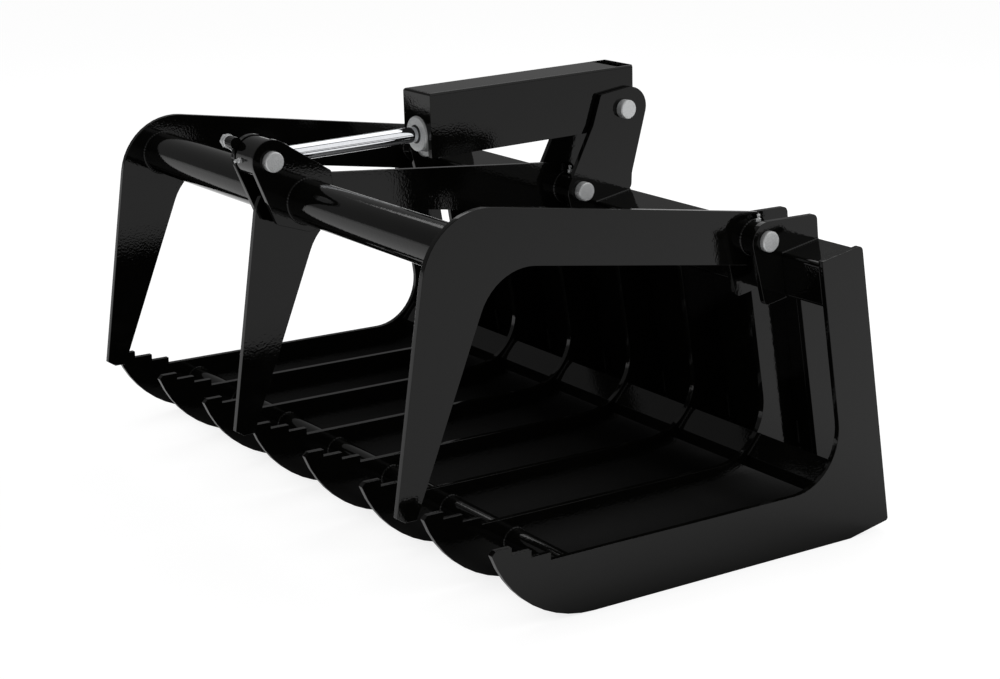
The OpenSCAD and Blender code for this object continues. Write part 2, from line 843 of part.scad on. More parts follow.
// Nut that holds the piston on the rod
module piston_nut() {
    start = piston_at + piston_len;
    color(zinc) on_cylinder() difference() {
        translate([0, start, 0]) rotate([-90, 0, 0]) cylinder(h = piston_nut_len, d = 40, $fn = 6);
        bar_y(start - 1, start + piston_nut_len + 1, piston_pin_d / 2 + seat_fit);
    }
}

// Rod eye: its bore leaves play round the rod pin
module rod_eye() {
    half = ear_gap / 2 - side_gap;
    color(paint) on_cylinder() difference() {
        union() {
            bar_x(-half, half, rod_eye_r);
            bar_y(0, shank_end, shank_d / 2);
        }
        bar_x(-half - 1, half + 1, pin_d / 2 + open_play);
    }
}

// Grease nipple on the front of the rod eye
module rod_nipple() {
    on_cylinder() translate([-8, -rod_eye_r, 0]) rotate([90, 0, 0]) nipple();
}

for (i = [1:tine_count]) tine(i);
top_rail();
front_pipe();
for (i = [1:tine_count - 1]) heel_bar(i);
attach_plate();
attach_lip();
attach_ledge();
attach_side(1);  // attach_side_right
attach_side(-1);  // attach_side_left
lug(1, 1);  // lug_right_outer
lug(1, -1);  // lug_right_inner
lug(-1, 1);  // lug_left_inner
lug(-1, -1);  // lug_left_outer
bracket(1);  // bracket_right
bracket(-1);  // bracket_left
hinge_pin_side(1);  // hinge_pin_right
hinge_pin_centre();
hinge_pin_side(-1);  // hinge_pin_left
base_pin();
keeper_bolts();
arm(arm_x);  // arm_right
arm(0);  // arm_centre
arm(-arm_x);  // arm_left
hub(arm_x, lug_gap);  // hub_right
hub(0, bracket_gap);  // hub_centre
hub(-arm_x, lug_gap);  // hub_left
hub_nipples();
cross_tube();
ear(1);  // ear_right
ear(-1);  // ear_left
rod_pin();
rod_pin_bolt();
barrel();
gland();
base_eye();
base_nipple();
cover();
rod();
piston();
piston_nut();
rod_eye();
rod_nipple();
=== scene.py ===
"""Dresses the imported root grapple: black painted plate work, zinc-plated pins and a chromed rod.

Every length is in metres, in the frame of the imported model: X across the width, Y from the
tine noses back to the attachment plate, Z up from the ground.
"""

import json
import logging
import math
from collections.abc import Callable, Sequence
from dataclasses import dataclass, field
from enum import Enum

import bmesh
import bpy
from mathutils import Matrix, Vector


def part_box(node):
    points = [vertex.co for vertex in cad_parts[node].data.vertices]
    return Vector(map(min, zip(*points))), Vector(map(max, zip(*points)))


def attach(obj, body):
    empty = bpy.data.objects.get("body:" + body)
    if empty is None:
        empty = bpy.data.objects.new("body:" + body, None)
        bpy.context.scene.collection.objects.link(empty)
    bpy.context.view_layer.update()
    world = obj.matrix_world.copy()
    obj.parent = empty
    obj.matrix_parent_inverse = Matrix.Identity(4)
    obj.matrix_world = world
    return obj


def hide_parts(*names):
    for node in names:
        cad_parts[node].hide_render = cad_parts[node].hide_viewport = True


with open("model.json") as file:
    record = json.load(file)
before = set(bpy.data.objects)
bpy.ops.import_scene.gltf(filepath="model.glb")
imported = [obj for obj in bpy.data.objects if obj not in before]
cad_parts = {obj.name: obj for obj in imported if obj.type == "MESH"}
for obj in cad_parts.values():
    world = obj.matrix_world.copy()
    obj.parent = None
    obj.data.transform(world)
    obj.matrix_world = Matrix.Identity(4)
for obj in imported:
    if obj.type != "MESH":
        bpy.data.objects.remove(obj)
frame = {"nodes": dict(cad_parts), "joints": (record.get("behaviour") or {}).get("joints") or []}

LOG = logging.getLogger("root_grapple")
MM = 0.001
# Corners of a CAD mesh within this gap are one corner.
MERGE_GAP = 0.002 * MM
# Triangles that meet at less than this angle are one flat face.
FLAT_ANGLE = math.radians(0.4)
# Edges that turn by more than this angle are broken.
EDGE_ANGLE = math.radians(35)
# A turned piece shades smoothly over edges that turn by less than this angle.
SMOOTH_ANGLE = math.radians(25)
# Flat faces above this area, in square metres, mirror as one plane.
LARGE_FACE = 0.01
# Most of a noise's values lie between these two.
NOISE_LOW = 0.3
NOISE_HIGH = 0.7
PLATE_EDGE = 0.9 * MM
HALF_PLATE = 6 * MM
RAIL_TOP = 575 * MM
# From the rod pin to the cylinder's pivot, at rest.
PIN_TO_PIVOT = 836.469 * MM
PLATE_BEAD = 3.5 * MM
ROD_BEAD = 3 * MM

Path = list[Vector]
Seam = tuple[Path, bool]


class Body(Enum):
    """The bodies that the joints move."""

    RAKE = "rake"
    CLAMP = "clamp"
    CYLINDER = "cylinder"
    ROD = "rod"


class Ring(Enum):
    """Cross-section of one ring of a turned piece."""

    ROUND = "round"
    HEXAGON = "hexagon"


def linear_colour(code: str) -> tuple[float, float, float, float]:
    """Turn an sRGB hex colour into linear values.

    Args:
        code: Colour such as "#0c0c0b".

    Returns:
        Linear red, green, blue and an alpha of 1.
    """
    shares = [int(code[i : i + 2], 16) / 255 for i in (1, 3, 5)]
    linear = [s / 12.92 if s <= 0.04045 else ((s + 0.055) / 1.055) ** 2.4 for s in shares]
    return (*linear, 1.0)


def add_node(
    tree: bpy.types.NodeTree,
    kind: str,
    settings: dict | None = None,
    values: dict | None = None,
    links: dict | None = None,
) -> bpy.types.Node:
    """Add one node with its settings and links.

    Args:
        tree: The node tree that gets the node.
        kind: The node's type name.
        settings: Properties of the node, by name.
        values: Default values of inputs, by name or number.
        links: Output sockets that feed inputs, by name or number.

    Returns:
        The new node.
    """
    node = tree.nodes.new(kind)
    for name, value in (settings or {}).items():
        setattr(node, name, value)
    for socket, value in (values or {}).items():
        node.inputs[socket].default_value = value
    for socket, source in (links or {}).items():
        tree.links.new(source, node.inputs[socket])
    return node


def mottle(
    tree: bpy.types.NodeTree,
    coords: bpy.types.NodeSocket,
    width: float,
    detail: float,
    *ranges: tuple[float, float],
) -> list[bpy.types.NodeSocket]:
    """Add a cloudy pattern of a real size, and spread it over ranges of values.

    Args:
        tree: The material's tree.
        coords: Output that gives the coordinates, in metres.
        width: Width of a lump in metres.
        detail: Octaves of finer lumps.
        ranges: Lowest and highest value of each output besides the pattern's own.

    Returns:
        The pattern's own output, then one for each range.
    """
    values = {"Scale": 1 / width, "Detail": detail}
    found = [add_node(tree, "ShaderNodeTexNoise", None, values, {"Vector": coords}).outputs["Fac"]]
    for low, high in ranges:
        values = {"From Min": NOISE_LOW, "From Max": NOISE_HIGH, "To Min": low, "To Max": high}
        spread = add_node(tree, "ShaderNodeMapRange", None, values, {"Value": found[0]})
        found.append(spread.outputs["Result"])
    return found


@dataclass(frozen=True)
class Finish:
    """What all finishes share: a name, the record's slot and a principled shader."""

    name: str = "finish"
    slot: str = "gloss_black_paint"
    word: str = "finished"

    def material(self) -> bpy.types.Material:
        """Give the finish's material, made on first use.

        Returns:
            The material.
        """
        found = bpy.data.materials.get(self.name)
        if found:
            return found
        made = bpy.data.materials.new(self.name)
        made.use_nodes = True
        made.node_tree.nodes.clear()
        coords = add_node(made.node_tree, "ShaderNodeTexCoord").outputs["Object"]
        shader = add_node(made.node_tree, "ShaderNodeBsdfPrincipled")
        self.shade(made.node_tree, shader, coords)
        add_node(made.node_tree, "ShaderNodeOutputMaterial", links={"Surface": shader.outputs[0]})
        return made

    def shade(self, tree: bpy.types.NodeTree, shader: bpy.types.Node, coords: bpy.types.NodeSocket) -> None:
        """Set the shader's sockets and patterns.

        Args:
            tree: The material's tree.
            shader: The principled shader.
            coords: Object coordinates in metres.
        """
        raise NotImplementedError

    def skin(
        self,
        shader: bpy.types.Node,
        tones: tuple[str, str],
        share: bpy.types.NodeSocket,
        relief: bpy.types.NodeSocket,
        depth: float,
    ) -> None:
        """Give the shader two tones and a fine relief.

        Args:
            shader: The principled shader.
            tones: Hex colours where the share is 0 and where it is 1.
            share: Output that mixes the tones.
            relief: Output that is the relief's height.
            depth: Depth of the relief in metres.
        """
        tree = shader.id_data
        # The mix node's inputs 6 and 7 are its two colours.
        colours = {6: linear_colour(tones[0]), 7: linear_colour(tones[1])}
        tint = add_node(tree, "ShaderNodeMix", {"data_type": "RGBA"}, colours, {0: share})
        values = {"Distance": depth, "Strength": 1.0}
        bump = add_node(tree, "ShaderNodeBump", None, values, {"Height": relief})
        tree.links.new(tint.outputs[2], shader.inputs["Base Color"])
        tree.links.new(bump.outputs["Normal"], shader.inputs["Normal"])


@dataclass(frozen=True)
class PowderCoat(Finish):
    """Polyester powder coat, baked on blasted steel.

    It gives the eye a deep mirror whose reflections break up in a fine orange peel where they
    change. The peel is as wide as the longer waves of such a coat. The index starts from the 1.5
    of such resins and is then matched to the object, whose upright faces mirror about two
    hundredths of the light.
    """

    name: str = "gloss_black_powder_coat"
    word: str = "painted"
    colour: str = "#060605"
    haze: str = "#0a0a09"
    ior: float = 1.31
    roughness: tuple[float, float] = (0.04, 0.07)
    peel_width: float = 4.5 * MM
    peel_depth: float = 0.1 * MM
    peel_detail: float = 1
    haze_width: float = 70 * MM
    haze_detail: float = 3

    def shade(self, tree: bpy.types.NodeTree, shader: bpy.types.Node, coords: bpy.types.NodeSocket) -> None:
        """Set a near-black colour, an uneven gloss and the orange peel.

        Args:
            tree: The material's tree.
            shader: The principled shader.
            coords: Object coordinates in metres.
        """
        cloud, dullness = mottle(tree, coords, self.haze_width, self.haze_detail, self.roughness)
        (peel,) = mottle(tree, coords, self.peel_width, self.peel_detail)
        shader.inputs["IOR"].default_value = self.ior
        tree.links.new(dullness, shader.inputs["Roughness"])
        self.skin(shader, (self.colour, self.haze), cloud, peel, self.peel_depth)


@dataclass(frozen=True)
class MetalFinish(Finish):
    """A bare or plated metal with an even grain."""

    colour: str = "#e9eaea"
    shade_colour: str = "#c6c8c9"
    roughness: tuple[float, float] = (0.48, 0.68)
    metallic: float = 1.0
    grain_width: float = 1.5 * MM
    grain_detail: float = 2
    grain_depth: float = 0.02 * MM
    stretch: tuple[float, float, float] = (1.0, 1.0, 1.0)

    def shade(self, tree: bpy.types.NodeTree, shader: bpy.types.Node, coords: bpy.types.NodeSocket) -> None:
        """Set the metal's two tones, its uneven gloss and its grain.

        Args:
            tree: The material's tree.
            shader: The principled shader.
            coords: Object coordinates in metres.
        """
        mapped = add_node(tree, "ShaderNodeMapping", None, {"Scale": self.stretch}, {"Vector": coords})
        along = mapped.outputs["Vector"]
        grain, share, dullness = mottle(
            tree, along, self.grain_width, self.grain_detail, (0.0, 1.0), self.roughness
        )
        shader.inputs["Metallic"].default_value = self.metallic
        tree.links.new(dullness, shader.inputs["Roughness"])
        self.skin(shader, (self.shade_colour, self.colour), share, grain, self.grain_depth)


@dataclass(frozen=True)
class NitrileRubber(Finish):
    """Moulded nitrile rubber: dull black with a faint bloom."""

    name: str = "nitrile_rubber"
    slot: str = ""
    word: str = "moulded"
    colour: str = "#151515"
    ior: float = 1.52
    roughness: tuple[float, float] = (0.5, 0.65)
    bloom_width: float = 3 * MM
    bloom_detail: float = 2

    def shade(self, tree: bpy.types.NodeTree, shader: bpy.types.Node, coords: bpy.types.NodeSocket) -> None:
        """Set a flat black with an uneven dullness.

        Args:
            tree: The material's tree.
            shader: The principled shader.
            coords: Object coordinates in metres.
        """
        _, dullness = mottle(tree, coords, self.bloom_width, self.bloom_detail, self.roughness)
        shader.inputs["Base Color"].default_value = linear_colour(self.colour)
        shader.inputs["IOR"].default_value = self.ior
        tree.links.new(dullness, shader.inputs["Roughness"])


PAINT = PowderCoat()
# Clear-passivated zinc on turned steel: pale and finely mottled, too dull to mirror. Its skin
# scatters part of the light, so it is matched to the object as less than wholly metallic. The
# mottle is really under 1 mm wide and is drawn coarser, so that it shows in the render.
ZINC = MetalFinish(name="bright_zinc_plate", slot="zinc", word="plated", metallic=0.7)
# Hard chrome ground and polished round the rod: a clean mirror with faint marks round it, which
# are really finer than 0.1 mm and are drawn coarser.
CHROME = MetalFinish(
    name="polished_hard_chrome",
    slot="chrome_rod",
    word="chromed",
    colour="#e4e5e8",
    shade_colour="#dadce0",
    roughness=(0.02, 0.03),
    grain_width=2 * MM,
    grain_depth=0.001 * MM,
    stretch=(0.2, 1.0, 0.2),
)
# Steel as it leaves the lathe: a mid grey, whose fine feed marks are drawn as a coarser mottle.
MACHINED = MetalFinish(
    name="machined_steel",
    slot="piston_steel",
    word="machined",
    colour="#a2a4a6",
    shade_colour="#8b8d8f",
    roughness=(0.25, 0.35),
)
RUBBER = NitrileRubber()


def declare(
    piece: bpy.types.Object, body: Body, finish: Finish, stands_for: Sequence[str] = ()
) -> bpy.types.Object:
    """Hang a finished piece on its body's empty, hide the CAD nodes that it stands for and log its finish.

    Args:
        piece: The finished object.
        body: The body that carries it.
        finish: Its finish.
        stands_for: CAD nodes that it replaces.

    Returns:
        The same object.
    """
    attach(piece, body.value)
    if stands_for:
        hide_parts(*stands_for)
    faces = len(piece.data.polygons)
    LOG.info("%s: %s, %s, %d faces", piece.name, body.value, finish.name, faces)
    return piece


def new_object(name: str, mesh: bpy.types.Mesh) -> bpy.types.Object:
    """Put a mesh into the scene under a name.

    Args:
        name: The object's name.
        mesh: Its mesh.

    Returns:
        The object.
    """
    thing = bpy.data.objects.new(name, mesh)
    bpy.context.scene.collection.objects.link(thing)
    return thing


def settle(thing: bpy.types.Object) -> None:
    """Turn an object's evaluated shape into its plain mesh and drop its modifiers.

    Args:
        thing: The object.
    """
    graph = bpy.context.evaluated_depsgraph_get()
    mesh = bpy.data.meshes.new_from_object(
        thing.evaluated_get(graph), preserve_all_data_layers=True, depsgraph=graph
    )
    thing.modifiers.clear()
    thing.data = mesh


def lay_flat(mesh: bpy.types.Mesh) -> None:
    """Give the corners of every large face its own normal, so that it mirrors as one plane.

    Args:
        mesh: A settled mesh.
    """
    normals = [corner.vector.copy() for corner in mesh.corner_normals]
    for face in mesh.polygons:
        if face.area > LARGE_FACE:
            for loop in face.loop_indices:
                normals[loop] = face.normal.copy()
    mesh.normals_split_custom_set(normals)


@dataclass(frozen=True)
class Fold:
    """The rounded outside of a bend in sheet metal."""

    radius: float
    on_line: Callable[[Vector], bool]
    steps: int = 5

    def round_off(self, work: bmesh.types.BMesh) -> None:
        """Round the edges that lie on the bend's line.

        Args:
            work: The sheet's mesh.
        """
        edges = [edge for edge in work.edges if all(self.on_line(vert.co) for vert in edge.verts)]
        bmesh.ops.bevel(
            work,
            geom=edges,
            offset=self.radius,
            offset_type="OFFSET",
            segments=self.steps,
            profile=0.5,
            affect="EDGES",
        )


def broken_edges(
    node: str, body: Body, finish: Finish, width: float, fold: Fold | None = None
) -> bpy.types.Object:
    """Copy a CAD node with its sharp edges broken, as a fettled and coated edge is.

    Args:
        node: Name of the CAD node.
        body: The body that carries it.
        finish: Its finish.
        width: Width of the broken edge in metres.
        fold: Bend of a sheet, rounded before the edges are broken.

    Returns:
        The piece that stands for the node.
    """
    work = bmesh.new()
    work.from_mesh(frame["nodes"][node].data)
    bmesh.ops.remove_doubles(work, verts=work.verts, dist=MERGE_GAP)
    bmesh.ops.dissolve_limit(
        work, angle_limit=FLAT_ANGLE, verts=work.verts, edges=work.edges, use_dissolve_boundaries=False
    )
    if fold:
        fold.round_off(work)
    for face in work.faces:
        face.smooth = True
    mesh = bpy.data.meshes.new(f"{node}_{finish.word}")
    work.to_mesh(mesh)
    work.free()
    mesh.materials.append(finish.material())
    piece = new_object(mesh.name, mesh)
    bevel = piece.modifiers.new("edge", "BEVEL")
    bevel.width = width
    bevel.segments = 2
    bevel.limit_method = "ANGLE"
    bevel.angle_limit = EDGE_ANGLE
    normals = piece.modifiers.new("flat_faces", "WEIGHTED_NORMAL")
    normals.mode = "FACE_AREA"
    normals.weight = 100
    normals.keep_sharp = True
    settle(piece)
    lay_flat(piece.data)
    return declare(piece, body, finish, [node])


def turned(
    profile: Sequence[tuple[float, float, Ring]], steps: int = 36, hollow: bool = False
) -> bpy.types.Mesh:
    """Turn a profile about Z into a closed solid.

    Args:
        profile: Radius, height and cross-section of each ring, from one end to the other. A
            hexagon's radius is half its width across the flats.
        steps: Points round each ring, a multiple of 6.
        hollow: Whether the last ring joins the first, which leaves the middle open.

    Returns:
        The mesh, with its faces outwards.
    """
    work = bmesh.new()
    rings = []
    for radius, height, ring in profile:
        row = []
        for k in range(steps):
            turn = 2 * math.pi * k / steps
            off_flat = (turn + math.pi / 6) % (math.pi / 3) - math.pi / 6
            reach = radius / math.cos(off_flat) if ring is Ring.HEXAGON else radius
            row.append(work.verts.new((reach * math.cos(turn), reach * math.sin(turn), height)))
        rings.append(row)
    pairs = list(zip(rings, rings[1:]))
    if hollow:
        pairs.append((rings[-1], rings[0]))
    else:
        work.faces.new(reversed(rings[0]))
        work.faces.new(rings[-1])
    for lower, upper in pairs:
        for k in range(steps):
            after = (k + 1) % steps
            work.faces.new((lower[k], lower[after], upper[after], upper[k]))
    bmesh.ops.recalc_face_normals(work, faces=work.faces)
    for face in work.faces:
        face.smooth = True
    for edge in work.edges:
        edge.smooth = edge.calc_face_angle(0) < SMOOTH_ANGLE
    mesh = bpy.data.meshes.new("turned")
    work.to_mesh(mesh)
    work.free()
    return mesh


class NodeTool:
    """A geometry node tree with named inputs, and the modifier that runs it."""

    def __init__(self, name: str, inputs: dict[str, str]) -> None:
        """Start a tree.

        Args:
            name: The tree's name.
            inputs: Socket type of each input, by name.
        """
        self.tree = bpy.data.node_groups.new(name, "GeometryNodeTree")
        self.identifiers: dict[str, str] = {}
        for label, kind in {"Geometry": "NodeSocketGeometry", **inputs}.items():
            socket = self.tree.interface.new_socket(name=label, in_out="INPUT", socket_type=kind)
            self.identifiers[label] = socket.identifier
        self.tree.interface.new_socket(name="Geometry", in_out="OUTPUT", socket_type="NodeSocketGeometry")
        self.source = add_node(self.tree, "NodeGroupInput").outputs

    def end(self, geometry: bpy.types.NodeSocket) -> None:
        """Realize the instances, set the material and close the tree.

        Args:
            geometry: What the tree has made.
        """
        real = add_node(self.tree, "GeometryNodeRealizeInstances", links={0: geometry})
        dressed = add_node(
            self.tree,
            "GeometryNodeSetMaterial",
            links={"Geometry": real.outputs[0], "Material": self.source["Material"]},
        )
        add_node(self.tree, "NodeGroupOutput", links={0: dressed.outputs[0]})

    def run(self, name: str, mesh: bpy.types.Mesh, values: dict) -> bpy.types.Object:
        """Run the tree on a mesh and keep the result as a plain mesh.

        Args:
            name: Name of the new piece.
            mesh: What the tree starts from.
            values: Value of each input, by name.

        Returns:
            The new piece, without its modifier.
        """
        piece = new_object(name, mesh)
        modifier = piece.modifiers.new("nodes", "NODES")
        modifier.node_group = self.tree
        for label, value in values.items():
            modifier[self.identifiers[label]] = value
        settle(piece)
        return piece


class WeldBeads(NodeTool):
    """Rippled fillet welds that follow paths."""

    ripple_pitch: float = 6 * MM
    ripple_depth: float = 0.35 * MM
    step: float = 1.6 * MM

    def __init__(self) -> None:
        """Build the tree: a round bead along each path, with ripples along its length."""
        sizes = ("Radius", "Ripple pitch", "Ripple depth", "Step")
        super().__init__(
            "weld_beads",
            {**{label: "NodeSocketFloat" for label in sizes}, "Material": "NodeSocketMaterial"},
        )
        tree = self.tree
        curve = add_node(tree, "GeometryNodeMeshToCurve", links={0: self.source["Geometry"]})
        even = add_node(
            tree,
            "GeometryNodeResampleCurve",
            {"mode": "LENGTH"},
            links={"Curve": curve.outputs[0], "Length": self.source["Step"]},
        )
        along = add_node(tree, "GeometryNodeSplineParameter").outputs["Length"]
        marked = add_node(
            tree,
            "GeometryNodeStoreNamedAttribute",
            {"data_type": "FLOAT", "domain": "POINT"},
            {"Name": "along"},
            {"Geometry": even.outputs[0], "Value": along},
        )
        profile = add_node(
            tree,
            "GeometryNodeCurvePrimitiveCircle",
            values={"Resolution": 10},
            links={"Radius": self.source["Radius"]},
        )
        bead = add_node(
            tree,
            "GeometryNodeCurveToMesh",
            values={"Fill Caps": True},
            links={"Curve": marked.outputs[0], "Profile Curve": profile.outputs[0]},
        )
        where = add_node(tree, "GeometryNodeInputNamedAttribute", {"data_type": "FLOAT"}, {"Name": "along"})
        height = where.outputs[0]
        for operation, second in (
            ("DIVIDE", self.source["Ripple pitch"]),
            ("MULTIPLY", 2 * math.pi),
            ("SINE", None),
            ("MULTIPLY", self.source["Ripple depth"]),
        ):
            step = add_node(tree, "ShaderNodeMath", {"operation": operation}, links={0: height})
            if isinstance(second, float):
                step.inputs[1].default_value = second
            elif second:
                tree.links.new(second, step.inputs[1])
            height = step.outputs[0]
        outward = add_node(tree, "GeometryNodeInputNormal").outputs[0]
        offset = add_node(
            tree,
            "ShaderNodeVectorMath",
            {"operation": "SCALE"},
            links={0: outward, "Scale": height},
        )
        rippled = add_node(
            tree,
            "GeometryNodeSetPosition",
            links={"Geometry": bead.outputs[0], "Offset": offset.outputs[0]},
        )
        clean = add_node(
            tree,
            "GeometryNodeRemoveAttribute",
            values={"Name": "along"},
            links={"Geometry": rippled.outputs[0]},
        )
        self.end(clean.outputs[0])

    def lay(self, name: str, body: Body, paths: Sequence[Seam], radius: float) -> None:
        """Lay one body's beads.

        Args:
            name: Name of the piece.
            body: The body that carries the welds.
            paths: Points of each weld, and whether it closes on itself.
            radius: Radius of a bead in metres.
        """
        verts, edges = [], []
        for points, closed in paths:
            first = len(verts)
            verts += points
            edges += [(first + k, first + k + 1) for k in range(len(points) - 1)]
            if closed:
                edges.append((len(verts) - 1, first))
        mesh = bpy.data.meshes.new(name)
        mesh.from_pydata(verts, edges, [])
        values = {
            "Radius": radius,
            "Ripple pitch": self.ripple_pitch,
            "Ripple depth": self.ripple_depth,
            "Step": self.step,
            "Material": PAINT.material(),
        }
        piece = self.run(name, mesh, values)
        for face in piece.data.polygons:
            face.use_smooth = True
        declare(piece, body, PAINT)


class Copies(NodeTool):
    """Copies of one small piece at points."""

    def __init__(self) -> None:
        """Build the tree: the piece on every point, turned one way."""
        super().__init__(
            "copies_at_points",
            {"Piece": "NodeSocketObject", "Turn": "NodeSocketVector", "Material": "NodeSocketMaterial"},
        )
        piece = add_node(self.tree, "GeometryNodeObjectInfo", links={"Object": self.source["Piece"]})
        spread = add_node(
            self.tree,
            "GeometryNodeInstanceOnPoints",
            links={
                "Points": self.source["Geometry"],
                "Instance": piece.outputs["Geometry"],
                "Rotation": self.source["Turn"],
            },
        )
        self.end(spread.outputs[0])

    def place(
        self, node: str, body: Body, mesh: bpy.types.Mesh, points: Path, turn: Sequence[float]
    ) -> None:
        """Put plated copies of a mesh at points, in place of a CAD node.

        Args:
            node: Name of the CAD node that they stand for.
            body: The body that carries them.
            mesh: The small piece, standing on its origin along Z.
            points: Where the copies stand.
            turn: Turn about X, Y and Z in radians.
        """
        pattern = new_object(f"{node}_pattern", mesh)
        spots = bpy.data.meshes.new(f"{node}_{ZINC.word}")
        spots.from_pydata(points, [], [])
        values = {"Piece": pattern, "Turn": tuple(turn), "Material": ZINC.material()}
        piece = self.run(spots.name, spots, values)
        bpy.data.objects.remove(pattern)
        declare(piece, body, ZINC, [node])


def ring_path(
    centre: Vector, radius: float, axis: Vector = Vector((1, 0, 0)), steps: int = 72
) -> Seam:
    """Give the points of a circle.

    Args:
        centre: Its centre.
        radius: Its radius.
        axis: Its axis.
        steps: How many points it has.

    Returns:
        The points, and True, because the path closes.
    """
    turn = axis.to_track_quat("Z", "Y")
    angles = (2 * math.pi * k / steps for k in range(steps))
    points = [centre + turn @ Vector((radius * math.cos(a), radius * math.sin(a), 0)) for a in angles]
    return points, True


@dataclass
class PostFrame:
    """The leaned frame of the posts: across from their front edges, and along their lean."""

    lean: float = math.radians(10.5)
    foot: float = 397.322 * MM

    def at(self, x: float, across: float, along: float) -> Vector:
        """Give a point of the leaned frame in the model's frame."""
        return Vector(
            (
                x,
                self.foot + across * math.cos(self.lean) - along * math.sin(self.lean),
                across * math.sin(self.lean) + along * math.cos(self.lean),
            )
        )

    def seam(self, x: float, start: tuple[float, float], end: tuple[float, float]) -> Seam:
        """Give an open path between two points of the leaned frame, at one X."""
        return [self.at(x, *start), self.at(x, *end)], False


POSTS = PostFrame()


def joint_point(name: str) -> Vector:
    """Give the place of a hinge joint's axis."""
    joint = next(j for j in frame["joints"] if j["name"] == name)
    return Vector(joint["pos_m"])


def slide_axis(name: str) -> Vector:
    """Give the direction of a slide joint."""
    joint = next(j for j in frame["joints"] if j["name"] == name)
    return Vector(joint["axis"]).normalized()


def plate_faces(node: str) -> tuple[float, float]:
    """Give the X of the two faces of an upright plate.

    Args:
        node: Name of its CAD node.

    Returns:
        The lower X, then the higher.
    """
    low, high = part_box(node)
    middle = (low.x + high.x) / 2
    return middle - HALF_PLATE, middle + HALF_PLATE


@dataclass(frozen=True)
class Keepers:
    """Where the keeper bosses of the rake's pins stand on their plates."""

    radius: float = 46 * MM
    hinge_turn: float = math.radians(12)
    base_turn: float = math.radians(-100)
    hinge_faces: tuple[float, ...] = (552 * MM, -64 * MM, -648 * MM)
    base_face: float = -64 * MM

    def spots(self, out: float = 0.0) -> list[Vector]:
        """Give the middle of each boss.

        Args:
            out: How far out from the plates the points lie.

        Returns:
            Three points at the clamp hinge, then the one at the base pin.
        """
        hinge = joint_point("clamp_hinge")
        base = joint_point("cylinder_pivot")
        wanted = [(x, hinge, self.hinge_turn) for x in self.hinge_faces]
        wanted.append((self.base_face, base, self.base_turn))
        found = []
        for x, pin, turn in wanted:
            offset = Vector((0, math.cos(turn), math.sin(turn))) * self.radius
            found.append(Vector((x - out, pin.y, pin.z)) + offset)
        return found


KEEPERS = Keepers()


@dataclass
class TineRake:
    """The rake: tines, top rail, front pipe and heel bars, welded together."""

    rail_low: float = 485 * MM
    rail_seam: tuple[float, float] = (6 * MM, 76 * MM)
    rail_depth: float = 102 * MM
    rail_radius: float = 9 * MM
    heel_width: float = 52 * MM
    heel_tilt: float = math.radians(50)
    flange_thickness: float = 8 * MM
    flange_drop: float = 24 * MM
    pipe_radius: float = 24 * MM
    tines: list[str] = field(default_factory=lambda: [f"tine_{i}" for i in range(1, 9)])
    heel_bars: list[str] = field(default_factory=lambda: [f"heel_bar_{i}" for i in range(1, 8)])

    def build(self) -> None:
        """Break the edges of every plate and tube of the rake."""
        for node in [*self.tines, *self.heel_bars, "top_rail", "front_pipe"]:
            broken_edges(node, Body.RAKE, PAINT, PLATE_EDGE)
        self.flanges()

    def flanges(self) -> None:
        """Build the bent-down front edges of the heel bars."""
        work = bmesh.new()
        for node in self.heel_bars:
            low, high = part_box(node)
            size = Vector((high.x - low.x, self.flange_thickness, self.flange_drop))
            corner = Vector((low.x, low.y, low.z + self.heel_drop() - self.flange_drop))
            place = Matrix.Translation(corner + size / 2) @ Matrix.Diagonal((*size, 1.0))
            bmesh.ops.create_cube(work, size=1.0, matrix=place)
        mesh = bpy.data.meshes.new("heel_flanges")
        work.to_mesh(mesh)
        work.free()
        mesh.materials.append(PAINT.material())
        declare(new_object("heel_flanges", mesh), Body.RAKE, PAINT)

    def welds(self) -> list[Seam]:
        """Give the paths of the rake's own welds.

        Returns:
            The paths.
        """
        paths = []
        low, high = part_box("front_pipe")
        pipe = (low + high) / 2
        for node in self.tines:
            for x in plate_faces(node):
                if abs(x) < high.x + MM:
                    paths.append(ring_path(Vector((x, pipe.y, pipe.z)), self.pipe_radius))
        start, end = ((across, self.rail_low) for across in self.rail_seam)
        for node in self.tines[1:-1]:
            for x in plate_faces(node):
                paths.append(POSTS.seam(x, start, end))
        for node in self.heel_bars:
            low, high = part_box(node)
            reach = Vector((0, math.cos(self.heel_tilt), math.sin(self.heel_tilt))) * self.heel_width
            for x in (low.x, high.x):
                start = Vector((x, low.y, low.z + self.heel_drop()))
                paths.append(([start, start + reach], False))
        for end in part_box("top_rail"):
            for along in (self.rail_low, RAIL_TOP):
                start = (self.rail_radius, along)
                paths.append(POSTS.seam(end.x, start, (self.rail_depth - self.rail_radius, along)))
        return paths

    def heel_drop(self) -> float:
        """Give the height of a heel bar's front top edge above its lowest point."""
        return 2 * HALF_PLATE * math.cos(self.heel_tilt)


